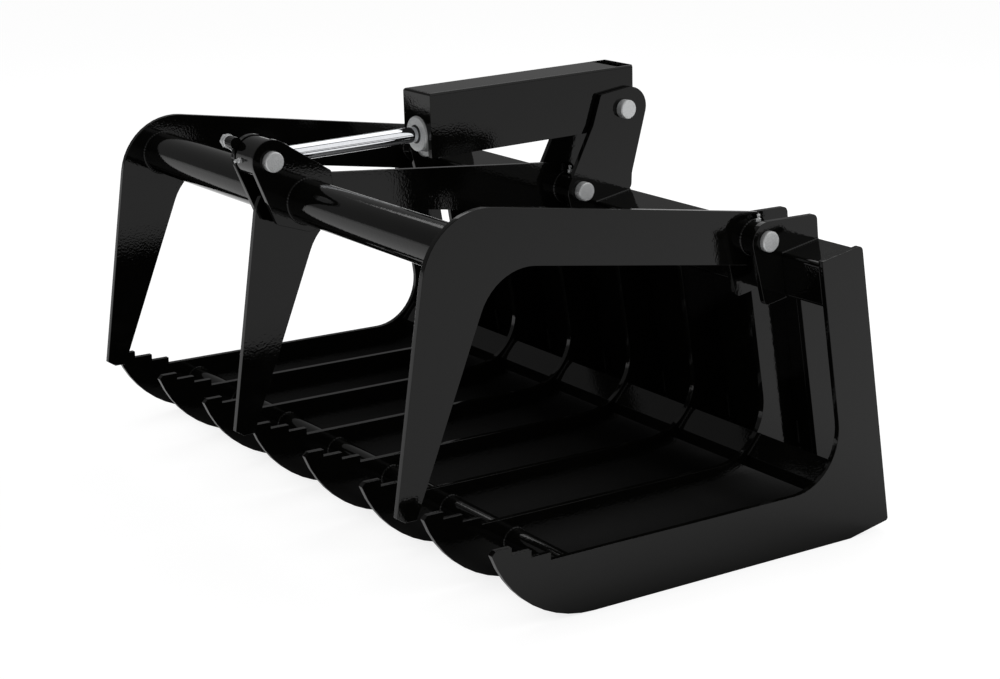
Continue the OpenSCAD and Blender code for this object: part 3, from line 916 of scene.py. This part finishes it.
@dataclass
class AttachmentPlate:
    """The back: plate, top lip, bottom ledge with its lock slots, and side plates."""

    front: float = 80 * MM
    back: float = 90 * MM
    ledge_top: float = 47 * MM
    lip_foot: float = 461 * MM
    side_inside: float = 584 * MM
    stitches: tuple[tuple[float, float], ...] = ((52 * MM, 109 * MM), (117 * MM, 170 * MM))
    nodes: tuple[str, ...] = (
        "attach_plate",
        "attach_lip",
        "attach_ledge",
        "attach_side_right",
        "attach_side_left",
    )

    def build(self) -> None:
        """Break the edges of the plates."""
        for node in self.nodes:
            broken_edges(node, Body.RAKE, PAINT, PLATE_EDGE)

    def welds(self, rake: TineRake) -> list[Seam]:
        """Give the stitch welds to the posts and the long seams of the back.

        Args:
            rake: The rake whose posts carry the plate.

        Returns:
            The paths.
        """
        paths = []
        for node in rake.tines[1:-1]:
            for x in plate_faces(node):
                for start, end in self.stitches:
                    paths.append(POSTS.seam(x, (self.front, start), (self.front, end)))
        for x in (-self.side_inside, self.side_inside):
            paths.append(POSTS.seam(x, (self.back, self.ledge_top), (self.back, self.lip_foot)))
        for along in (self.ledge_top, self.lip_foot):
            ends = [POSTS.at(side * self.side_inside, self.back, along) for side in (-1, 1)]
            paths.append((ends, False))
        return paths


@dataclass
class HingeMounts:
    """The plates that stand on the rail: four hinge lugs and two tall brackets."""

    foot_depth: float = 94 * MM
    boss_radius: float = 12 * MM
    boss_steps: int = 36
    nodes: tuple[str, ...] = (
        "lug_right_outer",
        "lug_right_inner",
        "lug_left_inner",
        "lug_left_outer",
        "bracket_right",
        "bracket_left",
    )
    # X of both faces of each plate, in millimetres.
    faces_mm: tuple[int, ...] = (636, 648, 564, 552, -564, -552, -636, -648, 52, 64, -52, -64)

    def build(self) -> None:
        """Break the edges of the lugs and brackets."""
        for node in self.nodes:
            broken_edges(node, Body.RAKE, PAINT, PLATE_EDGE)

    def welds(self) -> list[Seam]:
        """Give the welds to the rail and round the keeper bosses.

        Returns:
            The paths.
        """
        foot = ((0.0, RAIL_TOP), (self.foot_depth, RAIL_TOP))
        paths = [POSTS.seam(x * MM, *foot) for x in self.faces_mm]
        for spot in KEEPERS.spots():
            paths.append(ring_path(spot, self.boss_radius, steps=self.boss_steps))
        return paths


@dataclass
class HexBolt:
    """Hexagon bolt with a washer, its head up the Z axis from the washer's seat.

    The crown's sizes are shares of half the width across the flats.
    """

    across_flats: float = 24 * MM
    head: float = 8 * MM
    head_chamfer: float = 1.6 * MM
    washer_radius: float = 14 * MM
    washer: float = 2 * MM
    shank_radius: float = 7.9 * MM
    shank: float = 22 * MM
    edge: float = 0.4 * MM
    crown: float = 0.9
    crown_foot: float = 0.97

    def mesh(self) -> bpy.types.Mesh:
        """Turn the bolt: shank below the seat, then washer, head and the head's chamfer.

        Returns:
            The mesh.
        """
        flat = self.across_flats / 2
        top = self.washer + self.head
        return turned(
            [
                (self.shank_radius, -self.shank, Ring.ROUND),
                (self.shank_radius, 0, Ring.ROUND),
                (self.washer_radius, 0, Ring.ROUND),
                (self.washer_radius, self.washer - self.edge, Ring.ROUND),
                (self.washer_radius - self.edge, self.washer, Ring.ROUND),
                (flat - self.edge, self.washer, Ring.HEXAGON),
                (flat - self.edge, self.washer + self.edge, Ring.HEXAGON),
                (flat, self.washer + 2 * self.edge, Ring.HEXAGON),
                (flat, top - self.head_chamfer, Ring.HEXAGON),
                (flat * self.crown_foot, top - self.edge, Ring.ROUND),
                (flat * self.crown, top, Ring.ROUND),
            ]
        )


@dataclass
class GreaseNipple:
    """Grease nipple standing on its seat along Z: hexagon, neck and ball head."""

    length: float = 15 * MM
    across_flats: float = 9.5 * MM
    hexagon_top: float = 5.2 * MM
    shoulder: float = 6.0 * MM
    shoulder_share: float = 0.9
    neck_foot: float = 6.4 * MM
    neck: float = 2.6 * MM
    ball: float = 3.6 * MM
    mouth: float = 0.5 * MM
    mouth_rise: float = 0.98

    def mesh(self) -> bpy.types.Mesh:
        """Turn the nipple.

        Returns:
            The mesh.
        """
        flat = self.across_flats / 2
        ball_at = self.length - self.ball
        rows = [
            (flat, 0.0, Ring.HEXAGON),
            (flat, self.hexagon_top, Ring.HEXAGON),
            (flat * self.shoulder_share, self.shoulder, Ring.ROUND),
            (self.neck, self.neck_foot, Ring.ROUND),
        ]
        for degrees in range(-45, 76, 15):
            turn = math.radians(degrees)
            rows.append((self.ball * math.cos(turn), ball_at + self.ball * math.sin(turn), Ring.ROUND))
        rows.append((self.mouth, ball_at + self.ball * self.mouth_rise, Ring.ROUND))
        return turned(rows, steps=24)


@dataclass
class PinSet:
    """Pins, their keeper bolts and all the grease nipples."""

    edge: float = 0.5 * MM
    seat_out: float = 22 * MM
    rod_pin_seat: float = -65 * MM
    hub_radius: float = 33 * MM
    hub_nipples_x: tuple[float, ...] = (618 * MM, 18 * MM, -582 * MM)
    base_eye_radius: float = 38 * MM
    rake_pins: tuple[str, ...] = ("hinge_pin_right", "hinge_pin_centre", "hinge_pin_left", "base_pin")

    def build(self, copies: Copies) -> None:
        """Build the pins, bolts and nipples.

        Args:
            copies: The tool that repeats small pieces.
        """
        for node in self.rake_pins:
            broken_edges(node, Body.RAKE, ZINC, self.edge)
        broken_edges("rod_pin", Body.CLAMP, ZINC, self.edge)
        towards_left = (0.0, -math.pi / 2, 0.0)
        seats = KEEPERS.spots(self.seat_out)
        copies.place("keeper_bolts", Body.RAKE, HexBolt().mesh(), seats, towards_left)
        low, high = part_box("rod_pin_bolt")
        middle = (low + high) / 2
        seat = [Vector((self.rod_pin_seat, middle.y, middle.z))]
        copies.place("rod_pin_bolt", Body.CLAMP, HexBolt().mesh(), seat, towards_left)
        self.nipples(copies)

    def nipples(self, copies: Copies) -> None:
        """Put nipples on the hubs, the base eye and the rod eye.

        Args:
            copies: The tool that repeats small pieces.
        """
        nipple = GreaseNipple()
        axis = slide_axis("rod_slide")
        tilt = math.atan2(axis.z, axis.y)
        hinge = joint_point("clamp_hinge")
        hubs = [Vector((x, hinge.y, hinge.z + self.hub_radius)) for x in self.hub_nipples_x]
        copies.place("hub_nipples", Body.CLAMP, nipple.mesh(), hubs, (0, 0, 0))
        upward = Vector((0, -axis.z, axis.y))
        on_base = [joint_point("cylinder_pivot") + upward * self.base_eye_radius]
        copies.place("base_nipple", Body.CYLINDER, nipple.mesh(), on_base, (tilt, 0, 0))
        low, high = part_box("rod_nipple")
        on_eye = [(low + high) / 2 + axis * nipple.length / 2]
        copies.place("rod_nipple", Body.ROD, nipple.mesh(), on_eye, (tilt + math.pi / 2, 0, 0))


@dataclass
class ClampArms:
    """The clamp: three arms with hubs, the cross tube and the clevis ears."""

    hub_radius: float = 33 * MM
    tube_radius: float = 44.5 * MM
    ear_faces: tuple[float, float] = (31 * MM, 43 * MM)
    nodes: tuple[str, ...] = (
        "arm_right",
        "arm_centre",
        "arm_left",
        "hub_right",
        "hub_centre",
        "hub_left",
        "cross_tube",
        "ear_right",
        "ear_left",
    )

    def build(self) -> None:
        """Break the edges of the arms, hubs, tube and ears."""
        for node in self.nodes:
            broken_edges(node, Body.CLAMP, PAINT, PLATE_EDGE)

    def welds(self) -> list[Seam]:
        """Give the welds round the tube and the hubs.

        Returns:
            The paths.
        """
        low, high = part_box("cross_tube")
        tube = (low + high) / 2
        hinge = joint_point("clamp_hinge")
        spots = [low.x, high.x, -HALF_PLATE, HALF_PLATE]
        spots += [side * face for side in (-1, 1) for face in self.ear_faces]
        paths = [ring_path(Vector((x, tube.y, tube.z)), self.tube_radius) for x in spots]
        for node in ("arm_right", "arm_centre", "arm_left"):
            for x in plate_faces(node):
                paths.append(ring_path(Vector((x, hinge.y, hinge.z)), self.hub_radius))
        return paths


@dataclass
class HydraulicCylinder:
    """The cylinder: barrel, base eye, gland, wiper seal and sheet cover."""

    edge: float = 0.5 * MM
    cover_edge: float = 0.8 * MM
    cover_half_width: float = 50 * MM
    cover_rise: float = 88 * MM
    fold_radius: float = 6 * MM
    bore: float = 16.3 * MM
    mouth_from_rod_pin: float = 352 * MM
    gland_radius: float = 36.5 * MM
    gland_length: float = 20 * MM
    gland_chamfer: float = 5.5 * MM
    chamfer_knee: float = 0.3
    spigot_radius: float = 31.4 * MM
    spigot_length: float = 40 * MM
    recess_radius: float = 19 * MM
    recess_depth: float = 4 * MM
    wiper_proud: float = 1.5 * MM
    play: float = 0.15 * MM
    near: float = 0.1 * MM

    def build(self) -> None:
        """Build the cylinder's pieces."""
        for node in ("barrel", "base_eye"):
            broken_edges(node, Body.CYLINDER, PAINT, self.edge)
        bends = Fold(self.fold_radius, self.on_bend)
        broken_edges("cover", Body.CYLINDER, PAINT, self.cover_edge, bends)
        self.gland()
        self.wiper()

    def on_bend(self, point: Vector) -> bool:
        """Tell whether a point lies on one of the cover's two outer top edges.

        Args:
            point: The point.

        Returns:
            True if it lies there.
        """
        axis = slide_axis("rod_slide")
        rise = (point - joint_point("cylinder_pivot")).dot(Vector((0, -axis.z, axis.y)))
        at_side = abs(point.x) > self.cover_half_width - self.near
        return at_side and rise > self.cover_rise - self.near

    def on_axis(
        self, name: str, rows: list[tuple[float, float]], finish: Finish
    ) -> bpy.types.Object:
        """Turn a hollow ring and put it on the cylinder's axis, from the gland's mouth inwards.

        Args:
            name: Name of the piece.
            rows: Radius and height of each ring.
            finish: Its finish.

        Returns:
            The piece, not yet declared.
        """
        axis = slide_axis("rod_slide")
        mouth = joint_point("cylinder_pivot") - axis * (PIN_TO_PIVOT - self.mouth_from_rod_pin)
        rings = [(radius, height, Ring.ROUND) for radius, height in rows]
        mesh = turned(rings, steps=96, hollow=True)
        mesh.name = name
        mesh.transform(Matrix.Translation(mouth) @ axis.to_track_quat("Z", "Y").to_matrix().to_4x4())
        mesh.materials.append(finish.material())
        return new_object(name, mesh)

    def gland(self) -> None:
        """Build the gland, a chamfered ring with a recess for the wiper and a spigot in the barrel."""
        end = self.gland_length + self.spigot_length
        knee = self.chamfer_knee * self.gland_chamfer
        rows = [
            (self.bore, self.recess_depth),
            (self.recess_radius, self.recess_depth),
            (self.recess_radius, self.edge),
            (self.recess_radius + self.edge, 0.0),
            (self.gland_radius - self.gland_chamfer, 0.0),
            (self.gland_radius - knee, knee),
            (self.gland_radius, self.gland_chamfer),
            (self.gland_radius, self.gland_length - self.edge),
            (self.gland_radius - self.edge, self.gland_length),
            (self.spigot_radius, self.gland_length),
            (self.spigot_radius, end),
            (self.bore, end),
        ]
        declare(self.on_axis("gland_plated", rows, ZINC), Body.CYLINDER, ZINC, ["gland"])

    def wiper(self) -> None:
        """Build the wiper seal, a lip round the rod in the gland's recess."""
        outside = self.recess_radius - self.play
        rows = [
            (self.bore - self.play, self.recess_depth - self.play),
            (self.bore - self.play, -self.wiper_proud),
            (self.bore + self.wiper_proud, -self.wiper_proud),
            (outside, 0.0),
            (outside, self.recess_depth - self.play),
        ]
        declare(self.on_axis("wiper_seal", rows, RUBBER), Body.CYLINDER, RUBBER)


@dataclass
class PistonRod:
    """The rod with its eye, and the piston and nut inside the barrel."""

    edge: float = 0.6 * MM
    shank_end: float = 54 * MM
    rod_radius: float = 16 * MM
    weld_out: float = 2 * MM

    def build(self) -> None:
        """Build the rod's pieces."""
        broken_edges("rod", Body.ROD, CHROME, self.edge)
        broken_edges("rod_eye", Body.ROD, PAINT, self.edge)
        for node in ("piston", "piston_nut"):
            broken_edges(node, Body.ROD, MACHINED, self.edge)

    def welds(self) -> list[Seam]:
        """Give the weld between the rod and its eye.

        Returns:
            Its path, in a list.
        """
        axis = slide_axis("rod_slide")
        eye = joint_point("cylinder_pivot") - axis * PIN_TO_PIVOT
        return [ring_path(eye + axis * self.shank_end, self.rod_radius + self.weld_out, axis)]


@dataclass(frozen=True)
class Softbox:
    """A rectangular soft lamp that faces a point. A clean mirror shows radiance 1 as white."""

    name: str
    centre: tuple[float, float, float]
    facing: tuple[float, float, float]
    size: tuple[float, float]
    radiance: float

    def hang(self) -> None:
        """Put the lamp into the scene, with the power that gives its radiance."""
        data = bpy.data.lights.new(self.name, "AREA")
        data.shape = "RECTANGLE"
        data.size, data.size_y = self.size
        data.energy = math.pi * self.size[0] * self.size[1] * self.radiance
        lamp = bpy.data.objects.new(self.name, data)
        lamp.location = self.centre
        lamp.rotation_mode = "QUATERNION"
        away = Vector(self.centre) - Vector(self.facing)
        lamp.rotation_quaternion = away.to_track_quat("Z", "Y")
        bpy.context.scene.collection.objects.link(lamp)


@dataclass
class Studio:
    """White floor and backdrop, soft lamps and the camera of the photograph."""

    floor_size: float = 40.0
    floor_glow: float = 0.79
    floor_albedo: float = 0.38
    # Painted shade: the floor's glow that mirrors see is dimmed under the object by how much shuts the
    # floor in within the reach, to the power of the depth.
    painted_shade_reach: float = 0.7
    painted_shade_depth: float = 3.0
    fill_light: float = 0.6
    backdrop_white_to: float = 0.01
    backdrop_dim_from: float = 0.08
    backdrop_dim: float = 0.26
    softboxes: tuple[Softbox, ...] = (
        Softbox("overhead_box", (-1.5, 1.7, 3.1), (-1.5, 1.7, 0.0), (4.2, 2.8), 1.3),
        Softbox("side_panel", (2.165, 1.745, 2.245), (0.52, 1.38, 0.0), (3.0, 2.85), 0.85),
    )
    camera_place: tuple[float, float, float] = (3524.3 * MM, -2348.8 * MM, 1467.7 * MM)
    camera_azimuth: float = math.radians(55.323)
    camera_elevation: float = math.radians(15.490)
    lens_mm: float = 75.07
    sensor_mm: float = 36.0
    sight: float = 60.0

    def build(self) -> None:
        """Set up the floor, the world, the lamps and the camera."""
        bpy.context.scene.view_settings.view_transform = "Standard"
        self.floor()
        self.world()
        for softbox in self.softboxes:
            softbox.hang()
        self.camera()

    def seen(self, tree: bpy.types.NodeTree) -> bpy.types.NodeSocket:
        """Tell rays that show the backdrop from those that only light the object.

        Args:
            tree: The tree of a material or the world.

        Returns:
            An output that is 1 for camera, glossy and transmission rays.
        """
        path = add_node(tree, "ShaderNodeLightPath")
        found = path.outputs["Is Camera Ray"]
        for label in ("Is Glossy Ray", "Is Transmission Ray"):
            links = {0: found, 1: path.outputs[label]}
            found = add_node(tree, "ShaderNodeMath", {"operation": "MAXIMUM"}, links=links).outputs[0]
        return found

    def floor(self) -> None:
        """Lay the floor, which glows white to the eye and in mirrors, and still takes the shadow.

        The glow that mirrors see is darkened under the object: painted shade.
        """
        half = self.floor_size / 2
        corners = [(-half, -half, 0), (half, -half, 0), (half, half, 0), (-half, half, 0)]
        mesh = bpy.data.meshes.new("floor")
        mesh.from_pydata(corners, [], [(0, 1, 2, 3)])
        made = bpy.data.materials.new("white_floor")
        made.use_nodes = True
        tree = made.node_tree
        tree.nodes.clear()
        matt = add_node(
            tree, "ShaderNodeBsdfDiffuse", values={"Color": (self.floor_albedo,) * 3 + (1.0,)}
        )
        # Painted shade: ambient occlusion darkens the glow that mirrors see, under and between the parts.
        painted_shade_occlusion = add_node(
            tree, "ShaderNodeAmbientOcclusion", {"samples": 8}, {"Distance": self.painted_shade_reach}
        )
        shade = add_node(
            tree,
            "ShaderNodeMath",
            {"operation": "POWER"},
            {1: self.painted_shade_depth},
            {0: painted_shade_occlusion.outputs["AO"]},
        )
        to_eye = add_node(tree, "ShaderNodeLightPath").outputs["Is Camera Ray"]
        share = add_node(
            tree, "ShaderNodeMix", {"data_type": "FLOAT"}, {3: 1.0}, {0: to_eye, 2: shade.outputs[0]}
        )
        strength = add_node(
            tree, "ShaderNodeMath", {"operation": "MULTIPLY"}, {1: self.floor_glow}, {0: share.outputs[0]}
        )
        glow = add_node(tree, "ShaderNodeEmission", links={"Strength": strength.outputs[0]})
        both = add_node(tree, "ShaderNodeAddShader", links={0: matt.outputs[0], 1: glow.outputs[0]})
        ending = add_node(
            tree, "ShaderNodeMixShader", links={0: self.seen(tree), 1: matt.outputs[0], 2: both.outputs[0]}
        )
        add_node(tree, "ShaderNodeOutputMaterial", links={"Surface": ending.outputs[0]})
        mesh.materials.append(made)
        new_object("floor", mesh)

    def world(self) -> None:
        """Make a backdrop that is white up from the horizon and dims towards the ceiling."""
        world = bpy.data.worlds.new("studio")
        bpy.context.scene.world = world
        world.use_nodes = True
        tree = world.node_tree
        tree.nodes.clear()
        direction = add_node(tree, "ShaderNodeTexCoord").outputs["Generated"]
        parts = add_node(tree, "ShaderNodeSeparateXYZ", links={0: direction})
        level = add_node(
            tree,
            "ShaderNodeMapRange",
            {"interpolation_type": "SMOOTHSTEP"},
            {
                "From Min": self.backdrop_white_to,
                "From Max": self.backdrop_dim_from,
                "To Min": 1.0,
                "To Max": self.backdrop_dim,
            },
            {"Value": parts.outputs["Z"]},
        )
        strength = add_node(
            tree,
            "ShaderNodeMix",
            {"data_type": "FLOAT"},
            {2: self.fill_light},
            {0: self.seen(tree), 3: level.outputs[0]},
        )
        back = add_node(tree, "ShaderNodeBackground", links={"Strength": strength.outputs[0]})
        add_node(tree, "ShaderNodeOutputWorld", links={"Surface": back.outputs[0]})

    def camera(self) -> None:
        """Set the camera where the photograph was taken from."""
        data = bpy.data.cameras.new("camera")
        data.sensor_width = self.sensor_mm
        data.lens = self.lens_mm
        data.clip_end = self.sight
        camera = bpy.data.objects.new("camera", data)
        level = math.cos(self.camera_elevation)
        gaze = Vector(
            (
                -math.sin(self.camera_azimuth) * level,
                math.cos(self.camera_azimuth) * level,
                -math.sin(self.camera_elevation),
            )
        )
        camera.location = self.camera_place
        camera.rotation_mode = "QUATERNION"
        camera.rotation_quaternion = gaze.to_track_quat("-Z", "Y")
        bpy.context.scene.collection.objects.link(camera)
        bpy.context.scene.camera = camera


def main() -> None:
    """Build the studio and every sub-assembly."""
    logging.basicConfig(level=logging.INFO, format="%(name)s: %(message)s")
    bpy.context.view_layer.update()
    Studio().build()
    rake = TineRake()
    back = AttachmentPlate()
    mounts = HingeMounts()
    arms = ClampArms()
    rod = PistonRod()
    copies = Copies()
    for assembly in (rake, back, mounts, arms, rod, HydraulicCylinder()):
        assembly.build()
    PinSet().build(copies)
    beads = WeldBeads()
    beads.lay("rake_welds", Body.RAKE, rake.welds() + back.welds(rake) + mounts.welds(), PLATE_BEAD)
    beads.lay("clamp_welds", Body.CLAMP, arms.welds(), PLATE_BEAD)
    beads.lay("rod_eye_weld", Body.ROD, rod.welds(), ROD_BEAD)


if __name__ == "__main__":
    main()
